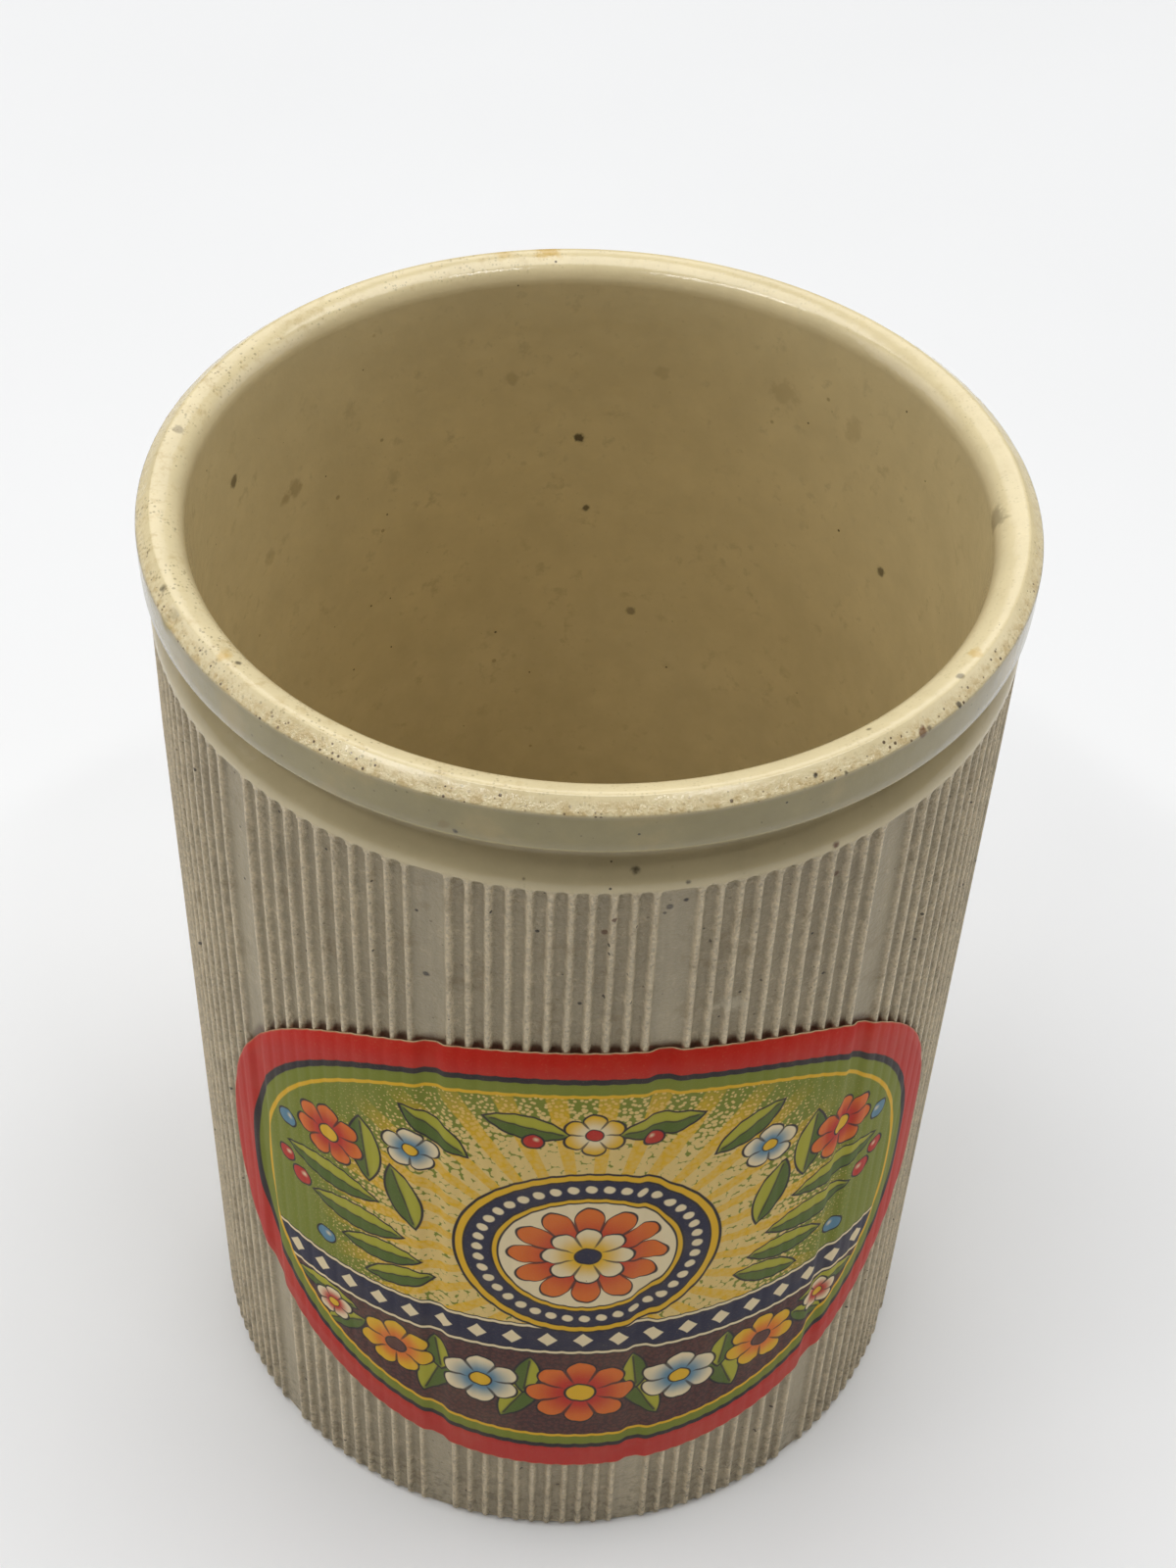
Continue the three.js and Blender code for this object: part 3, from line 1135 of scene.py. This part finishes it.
BERRIES = (
    Disc((34.2, 3.2), 1.3, Palette.RED), Disc((36.4, 5.4), 1.1, Palette.RED),
    Disc((31.0, -5.0), 1.2, Palette.SKY), Disc((6.2, 24.4), 1.0, Palette.RED),
    Disc((35.8, 12.2), 1.2, Palette.SKY),
)

FLOWERS = (
    Flower((0.0, -22.6), 6.2, 8, Palette.RED, Palette.ORANGE, Palette.YELLOW, Side.SINGLE),
    Flower((11.6, -21.6), 4.6, 6, Palette.SKY, Palette.CREAM, Palette.YELLOW),
    Flower((22.0, -20.0), 4.6, 7, Palette.ORANGE, Palette.YELLOW, Palette.MAROON),
    Flower((30.6, -18.2), 2.6, 5, Palette.RED, Palette.CREAM, Palette.YELLOW),
    Flower((29.6, 14.6), 4.4, 7, Palette.RED, Palette.ORANGE, Palette.YELLOW),
    Flower((19.4, 18.4), 3.2, 5, Palette.SKY, Palette.CREAM, Palette.YELLOW),
    Flower((0.0, 25.8), 3.2, 6, Palette.CREAM, Palette.YELLOW, Palette.RED, Side.SINGLE),
)


@dataclass(frozen=True)
class PrintedPaper:
    """Colour print on thin satin paper, gone a little yellow.

    Attributes:
        cut: Oval that the label is cut to.
        border: Width of the plain border in millimetres.
        line: Width of the dark line inside it.
        keyline: Distance of the thin yellow line from the dark one.
        stripe: Lowest and highest edge of the straight band across the print.
        medallion: Middle of the round ornament.
        medallion_radius: Its outer radius.
    """

    cut: LabelCut
    border: float = 4.0
    line: float = 0.85
    keyline: float = 1.9
    stripe: Point = (-14.2, -9.2)
    medallion: Point = (0.0, 4.6)
    medallion_radius: float = 14.8

    def ground(self, sheet: NodeSheet, flat: Signal) -> None:
        """Prints the stippled ground with rays, the band across it and the dark field below.

        Args:
            sheet: Material of the print.
            flat: Position on the flat label in millimetres.
        """
        across, up, _ = sheet.parts(flat)
        out = sheet.vector("DISTANCE", flat, (*self.medallion, 0.0))
        dots, _ = sheet.cells(flat, 0.62, "2D")
        tone = out.rise(15.0, 36.0)
        stipple = dots.rise(0.62 - tone * 0.7, 0.82 - tone * 0.7)
        sheet.colour = sheet.mix(stipple, Palette.BUFF, Palette.GREEN)
        turn = sheet.math("ARCTAN2", across, up - self.medallion[1])
        rays = sheet.math("SINE", turn * 32.0).rise(0.15, 0.4) * (1.0 - out.rise(23.0, 33.0))
        sheet.lay(rays * (0.5 + dots * 0.6), Palette.YELLOW)
        low, high = self.stripe
        middle = (low + high) / 2
        sheet.lay(up.below(low, 0.08), sheet.mix(dots.rise(0.3, 0.5) * 0.45, Palette.MAROON, Palette.LINE))
        sheet.lay(up.near(middle, (high - low) / 2, 0.08), Palette.NAVY)
        for edge in (low, high):
            sheet.lay(up.near(edge, 0.42, 0.08), Palette.LINE)
            sheet.lay(up.near(edge, 0.22, 0.08), Palette.CREAM)
        beside = sheet.math("PINGPONG", across, 2.0)
        sheet.lay((beside * 1.15 + abs(up - middle)).below(1.3, 0.1), Palette.CREAM)

    def beaded_ring(self, sheet: NodeSheet, flat: Signal) -> None:
        """Prints the rings of the round ornament, with beads between them.

        Args:
            sheet: Material of the print.
            flat: Position on the flat label in millimetres.
        """
        full = self.medallion_radius
        bead_ring = full - 2.8
        offset = sheet.vector("SUBTRACT", flat, (*self.medallion, 0.0))
        across, up, _ = sheet.parts(offset)
        out = sheet.vector("LENGTH", offset)
        rings = (
            (0.0, Palette.LINE), (0.35, Palette.YELLOW), (1.15, Palette.LINE), (1.4, Palette.NAVY),
            (4.2, Palette.LINE), (4.45, Palette.YELLOW), (4.95, Palette.LINE), (5.2, Palette.CREAM),
        )
        for inward, tint in rings:
            sheet.lay(out.below(full - inward, PRINT_EDGE), tint)
        beside = sheet.math("PINGPONG", sheet.math("ARCTAN2", across, up), math.tau / 80) * bead_ring
        bead = sheet.vector("LENGTH", sheet.joined(beside, out - bead_ring, 0.0))
        sheet.lay(bead.below(0.62, 0.1), Palette.CREAM)

    def frame_lines(self, sheet: NodeSheet, inset: Signal) -> None:
        """Prints the yellow keyline, the dark line and the plain border, from the inside out.

        Args:
            sheet: Material of the print.
            inset: Distance in from the cut edge in millimetres.
        """
        inner = self.border + self.line
        sheet.lay(inset.below(inner + self.keyline + 0.25, PRINT_EDGE), Palette.YELLOW)
        sheet.lay(inset.below(inner + self.keyline - 0.25, PRINT_EDGE), Palette.GREEN)
        sheet.lay(inset.below(inner, 0.1), Palette.LINE)
        sheet.lay(inset.below(self.border, 0.08), Palette.RED)

    def material(self) -> bpy.types.Material:
        """Builds the printed face.

        Returns:
            The material.
        """
        sheet = NodeSheet("printed_paper")
        unwrapped = sheet.signal("ShaderNodeUVMap", {}, uv_map="print")
        scale = (PRINT_SPAN, PRINT_SPAN, 0.0)
        flat = sheet.vector("MULTIPLY_ADD", unwrapped, scale, (-PRINT_SPAN / 2, -PRINT_SPAN / 2, 0.0))
        across, up, _ = sheet.parts(flat)
        folded = sheet.joined(abs(across), up, 0.0)
        self.ground(sheet, flat)
        for motif in (*LEAVES, *BERRIES):
            motif.print_on(sheet, folded)
        self.beaded_ring(sheet, flat)
        rosette = Flower(self.medallion, 8.6, 12, Palette.RED, Palette.ORANGE, Palette.YELLOW, Side.SINGLE)
        heart = Flower(self.medallion, 4.9, 8, Palette.YELLOW, Palette.CREAM, Palette.NAVY, Side.SINGLE)
        for flower in (*FLOWERS, rosette, heart):
            flower.print_on(sheet, folded if flower.side == Side.BOTH else flat)
        inset = self.cut.inset(sheet, flat)
        self.frame_lines(sheet, inset)

        # Age, and wear where the paper stands proud
        place = sheet.place()
        grain = sheet.noise(place, 0.3, 2.0, 0.6)
        pressed = sheet.trait(Trait.PRESSED)
        sheet.lay(sheet.noise(place, 9.0, 4.0, 0.6).rise(0.4, 0.75) * 0.06, Palette.PAPER)
        sheet.lay(grain.rise(0.54, 0.78) * (0.05 + pressed * 0.05), Palette.PAPER)
        sheet.lay(inset.below(0.1, 0.1) * 0.35, Palette.PAPER)
        normal = sheet.bump(grain, 0.03 * MM)
        return sheet.surface(Roughness=0.5 + grain * 0.12, Normal=normal, Specular_IOR_Level=0.25)


@dataclass(frozen=True)
class PaperCore:
    """Cut edge and back of the label's aged paper, and its colour where paste has soaked in."""

    colour: Colour = ink(206, 188, 146)
    stained: Colour = ink(150, 118, 78)

    def material(self) -> bpy.types.Material:
        """Builds the paper.

        Returns:
            The material.
        """
        sheet = NodeSheet("paper_core")
        place = sheet.place()
        sheet.colour = sheet.mix(sheet.noise(place, 3.0, 4.0, 0.6).rise(0.4, 0.7), self.colour, self.stained)
        normal = sheet.bump(sheet.noise(place, 0.25, 2.0, 0.6), 0.03 * MM)
        return sheet.surface(Roughness=0.8, Normal=normal)


@dataclass
class PaperLabel:
    """Oval paper label, pasted over the ridges and pressed into the flats.

    Attributes:
        ribs: Pattern of the ribs that carry it.
        cut: Oval that it is cut to.
        face: Finish of the printed face.
        core: Finish of the cut edge and the back.
        thickness: Thickness of the paper.
        paste: Gap over the ridges that the paste fills.
        flat_dip: How far the paper sinks into a flat.
        groove_dip: How far it sinks into a groove.
        columns: Mesh columns across.
        rows: Mesh rows up.
    """

    ribs: RibPattern
    cut: LabelCut
    face: PrintedPaper
    core: PaperCore
    thickness: float = 0.12 * MM
    paste: float = 0.03 * MM
    flat_dip: float = 0.42 * MM
    groove_dip: float = 0.075 * MM
    columns: int = 560
    rows: int = 18

    def dip(self, angle: float) -> float:
        """How far the paper sinks at an angle.

        Args:
            angle: Angle round the jar.

        Returns:
            Depth below the paper over the ridges.
        """
        offset, half = self.ribs.hollow(angle)
        share = abs(offset) / half
        if self.ribs.on_flat(angle):
            return self.flat_dip * (1.0 - smoothstep(0.3, 1.02, share))
        return self.groove_dip * (1.0 - smoothstep(0.0, 1.0, share))

    def bend(self, mesh: bmesh.types.BMesh) -> None:
        """Cuts a flat grid to the oval, notes the print's place and wraps it round the wall.

        Args:
            mesh: Grid from -1 to 1 both ways.
        """
        layer = mesh.loops.layers.uv.new("print")
        pressed = mesh.verts.layers.float.new(Trait.PRESSED.value)
        laid = {}
        for vert in mesh.verts:
            across = math.sin(vert.co.x * math.pi / 2)
            along = across * self.cut.half_width
            up = vert.co.y * self.cut.height_at(min(max(across, -1.0), 1.0))
            laid[vert] = (along, up)
            angle = along / (self.cut.radius + self.paste + self.thickness)
            radius = self.cut.radius + self.paste - self.dip(angle)
            vert[pressed] = 1.0 - self.ribs.sunk(angle)
            vert.co = (radius * math.sin(angle), -radius * math.cos(angle), self.cut.centre_height + up)
        for face in mesh.faces:
            for loop in face.loops:
                loop[layer].uv = [length / MM / PRINT_SPAN + 0.5 for length in laid[loop.vert]]

    def build(self) -> bpy.types.Object:
        """Makes the label and gives it its thickness.

        Returns:
            The label's object.
        """
        mesh = bmesh.new()
        bmesh.ops.create_grid(mesh, x_segments=self.columns, y_segments=self.rows, size=1.0)
        self.bend(mesh)
        bmesh.ops.remove_doubles(mesh, verts=mesh.verts, dist=MERGE_DISTANCE)
        bmesh.ops.recalc_face_normals(mesh, faces=mesh.faces)
        if sum(face.normal.y * face.calc_area() for face in mesh.faces) > 0:
            bmesh.ops.reverse_faces(mesh, faces=mesh.faces)
        for face in mesh.faces:
            face.smooth = True
        label = piece("paper_label_printed", mesh, [self.face.material(), self.core.material()])
        sheet = label.modifiers.new("paper", "SOLIDIFY")
        sheet.thickness = self.thickness
        sheet.offset = 1.0
        sheet.material_offset_rim = 1
        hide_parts("paper_label")
        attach(label, "root")
        return label


def piece(name: str, mesh: bmesh.types.BMesh, materials: list[bpy.types.Material]) -> bpy.types.Object:
    """Makes an object of a finished mesh.

    Args:
        name: Name of the object.
        mesh: Its mesh, which is freed.
        materials: Its materials in the order of the faces' numbers.

    Returns:
        The object, at the origin.
    """
    data = bpy.data.meshes.new(name)
    mesh.to_mesh(data)
    mesh.free()
    for material in materials:
        data.materials.append(material)
    made = bpy.data.objects.new(name, data)
    bpy.context.scene.collection.objects.link(made)
    return made


def aimed(name: str, data: bpy.types.ID, place: Place, aim: Place, roll: float = 0.0) -> bpy.types.Object:
    """Sets up a light or camera that looks at a place.

    Args:
        name: Name of the object.
        data: Its light or camera.
        place: Where it stands.
        aim: What it looks at.
        roll: How far it is turned about its line of sight.

    Returns:
        The object.
    """
    made = bpy.data.objects.new(name, data)
    turned = (Vector(aim) - Vector(place)).to_track_quat("-Z", "Y").to_matrix().to_4x4()
    made.matrix_world = Matrix.Translation(place) @ turned @ Matrix.Rotation(roll, 4, "Z")
    bpy.context.scene.collection.objects.link(made)
    return made


@dataclass(frozen=True)
class Lamp:
    """One soft studio light: where it hangs, what it shines at, its width and height, and its watts."""

    name: str
    place: Place
    aim: Place
    size: Point
    power: float

    def build(self) -> None:
        """Hangs the light, out of the camera's sight."""
        data = bpy.data.lights.new(self.name, "AREA")
        data.shape = "RECTANGLE"
        data.size, data.size_y = self.size
        data.energy = self.power
        aimed(self.name, data, self.place, self.aim).visible_camera = False


@dataclass
class Studio:
    """Pale floor, soft lights and the camera.

    Attributes:
        lamps: The lights.
        floor_size: Half width of the floor.
        floor_depth: How far it lies below the foot.
        floor_colour: Colour of the floor.
        sky: Strength of the even light from all round.
        camera_place: Where the camera stands, as it did for the photograph.
        camera_aim: What it looks at.
        camera_roll: How far it is turned about its line of sight.
        lens: Its focal length in millimetres.
        film: Height of its frame in millimetres.
    """

    lamps: tuple[Lamp, ...] = (
        Lamp("overhead", (0.0, 0.15, 1.65), (0.0, 0.05, 0.0), (2.25, 1.0), 23.6),
        Lamp("back", (0.0, 1.38, 1.35), (0.0, 0.0, 0.12), (1.5, 0.75), 6.4),
        Lamp("left", (-1.55, 0.3, 0.85), (0.0, 0.0, 0.06), (1.0, 1.0), 4.4),
        Lamp("right", (1.55, 0.3, 0.85), (0.0, 0.0, 0.06), (1.0, 1.0), 3.7),
        Lamp("ceiling_left", (-0.72, -0.6, 1.55), (0.0, 0.0, 0.12), (0.9, 0.07), 4.7),
        Lamp("ceiling_right", (0.5, -0.6, 1.55), (0.0, 0.0, 0.12), (0.4, 0.07), 2.1),
    )
    floor_size: float = 4.0
    floor_depth: float = 0.02 * MM
    floor_colour: Colour = (0.855, 0.86, 0.865)
    sky: float = 0.03
    camera_place: Place = (-13.262 * MM, -192.064 * MM, 274.174 * MM)
    camera_aim: Place = (1.05 * MM, 0.0, 85.0 * MM)
    camera_roll: float = math.radians(2.63)
    lens: float = 55.04
    film: float = 36.0

    def floor(self) -> None:
        """Lays the floor."""
        mesh = bmesh.new()
        bmesh.ops.create_grid(mesh, x_segments=1, y_segments=1, size=self.floor_size)
        bmesh.ops.translate(mesh, verts=mesh.verts, vec=(0.0, 0.0, -self.floor_depth))
        sheet = NodeSheet("pale_floor")
        tone = sheet.noise(sheet.place(), 140.0, 3.0, 0.5)
        sheet.colour = sheet.tinted(self.floor_colour, 0.97 + tone * 0.06)
        floor = piece("pale_floor", mesh, [sheet.surface(Roughness=0.7)])

    def camera(self) -> None:
        """Stands the camera where the photograph was taken from."""
        data = bpy.data.cameras.new("camera")
        data.sensor_fit = "VERTICAL"
        data.sensor_height = self.film
        data.lens = self.lens
        data.clip_start = 10 * MM
        place, aim = self.camera_place, self.camera_aim
        bpy.context.scene.camera = aimed("camera", data, place, aim, self.camera_roll)

    def build(self) -> None:
        """Sets up the floor, the lights, the even light and the camera."""
        self.floor()
        for lamp in self.lamps:
            lamp.build()
        world = bpy.data.worlds.new("soft_room")
        world.use_nodes = True
        light = world.node_tree.nodes["Background"]
        light.inputs["Color"].default_value = (1.0, 1.0, 1.0, 1.0)
        light.inputs["Strength"].default_value = self.sky
        bpy.context.scene.world = world
        bpy.context.scene.view_settings.view_transform = "Standard"
        self.camera()


def main() -> None:
    """Builds the studio and the jar."""
    logging.basicConfig(level=logging.INFO, format="%(name)s: %(message)s")
    Studio().build()
    ribs = RibPattern()
    cut = LabelCut.from_frame(squareness=2.2, radius=ribs.radius)
    pot = StonewarePot(ribs, StonewareGlaze(cut), BareClay()).build()
    LOG.info("%s: %d faces", pot.name, len(pot.data.polygons))
    label = PaperLabel(ribs, cut, PrintedPaper(cut), PaperCore()).build()
    LOG.info("%s: %d faces", label.name, len(label.data.polygons))


if __name__ == "__main__":
    main()
